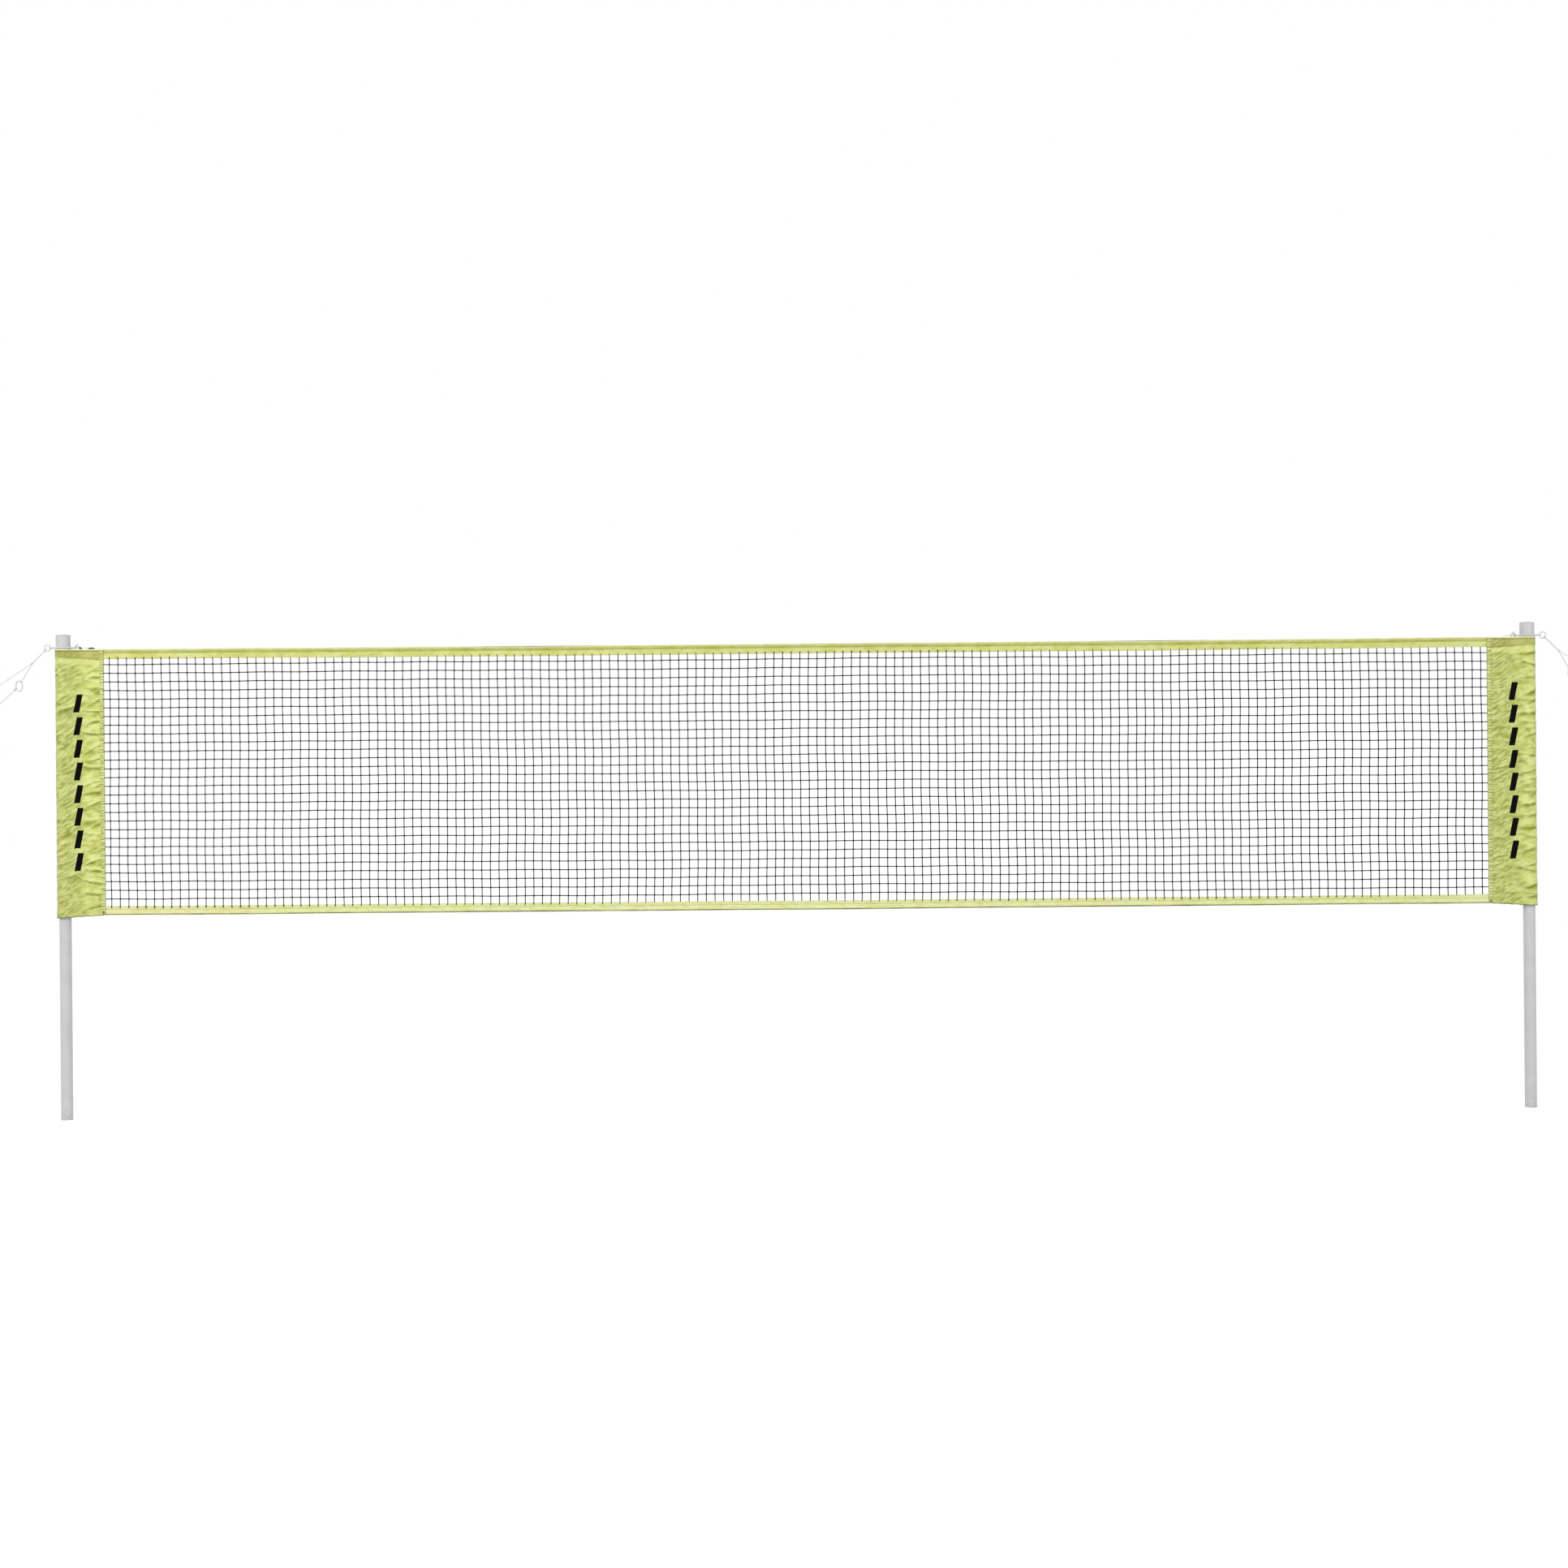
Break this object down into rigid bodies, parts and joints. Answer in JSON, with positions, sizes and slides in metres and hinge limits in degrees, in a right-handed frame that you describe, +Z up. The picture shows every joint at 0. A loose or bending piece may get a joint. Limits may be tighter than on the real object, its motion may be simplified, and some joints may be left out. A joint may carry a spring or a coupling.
{
  "type": "net on poles",
  "caption": "Knotted sports net in cloth tapes, held by pocket sleeves between telescoping poles, with rings and guy ropes at the pole tops.",
  "frame": {"origin": "on the ground, midway between the two poles", "axes": "+X along the net to the right pole, -Y towards the viewer, +Z up"},
  "size_m": [5.2466, 0.2441, 1.55],
  "materials": {
    "pole_metal": "satin light grey",
    "pole_plastic": "matte light grey",
    "bush_plastic": "matte white",
    "spring_steel": "bright",
    "sleeve_cloth": "puckered woven cloth, yellow-green",
    "tape_cloth": "woven tape, pale yellow-green",
    "net_twine": "knotted black twine",
    "black_rope": "braided black rope",
    "white_cord": "braided white cord",
    "ring_plastic": "smooth off-white"
  },
  "bodies": {
    "pole_feet": {"left_foot_tube": "pole_metal", "left_lower_tube": "pole_metal", "left_section_spigot": "pole_metal", "left_foot_plug": "pole_plastic", "left_top_bush": "bush_plastic", "left_button_spring": "spring_steel", "right_foot_tube": "pole_metal", "right_lower_tube": "pole_metal", "right_section_spigot": "pole_metal", "right_foot_plug": "pole_plastic", "right_top_bush": "bush_plastic", "right_button_spring": "spring_steel"},
    "left_upper": {"left_upper_tube": "pole_metal", "left_lower_bush": "bush_plastic", "left_pole_cap": "pole_plastic", "left_sleeve": "sleeve_cloth", "right_sleeve": "sleeve_cloth", "net_mesh": "net_twine", "top_tape": "tape_cloth", "bottom_tape": "tape_cloth", "top_rope": "black_rope", "bottom_rope": "black_rope", "left_tie_cord": "white_cord"},
    "right_upper": {"right_upper_tube": "pole_metal", "right_lower_bush": "bush_plastic", "right_pole_cap": "pole_plastic", "right_tie_cord": "white_cord"},
    "left_button": {"left_snap_button": "spring_steel"},
    "right_button": {"right_snap_button": "spring_steel"},
    "left_guy": {"left_guy_ring": "ring_plastic", "left_front_rope": "white_cord", "left_back_rope_upper": "white_cord", "left_tension_ring": "ring_plastic", "left_back_rope_lower": "white_cord", "left_front_loop": "white_cord", "left_back_loop": "white_cord"},
    "right_guy": {"right_guy_ring": "ring_plastic", "right_front_rope": "white_cord", "right_back_rope_upper": "white_cord", "right_tension_ring": "ring_plastic", "right_back_rope_lower": "white_cord", "right_front_loop": "white_cord", "right_back_loop": "white_cord"}
  },
  "joints": [
    {"name": "left_pole_extend", "type": "slide", "parent": "pole_feet", "child": "left_upper", "axis": [0, 0, 1], "range_m": [0, 0.74]},
    {"name": "right_pole_extend", "type": "slide", "parent": "pole_feet", "child": "right_upper", "axis": [0, 0, 1], "range_m": [0, 0.74]},
    {"name": "left_button_pop", "type": "slide", "parent": "pole_feet", "child": "left_button", "axis": [1, 0, 0], "range_m": [0, 0.0065]},
    {"name": "right_button_pop", "type": "slide", "parent": "pole_feet", "child": "right_button", "axis": [-1, 0, 0], "range_m": [0, 0.0065]},
    {"name": "left_guy_swing", "type": "hinge", "parent": "left_upper", "child": "left_guy", "pos_m": [-2.3813, 0, 1.507], "axis": [0, 1, 0], "range_deg": [0, 35]},
    {"name": "right_guy_swing", "type": "hinge", "parent": "right_upper", "child": "right_guy", "pos_m": [2.3813, 0, 1.507], "axis": [0, -1, 0], "range_deg": [0, 35]}
  ],
  "couplings": [
    {"joint": "right_pole_extend", "follows": "left_pole_extend", "ratio": 1}
  ]
}
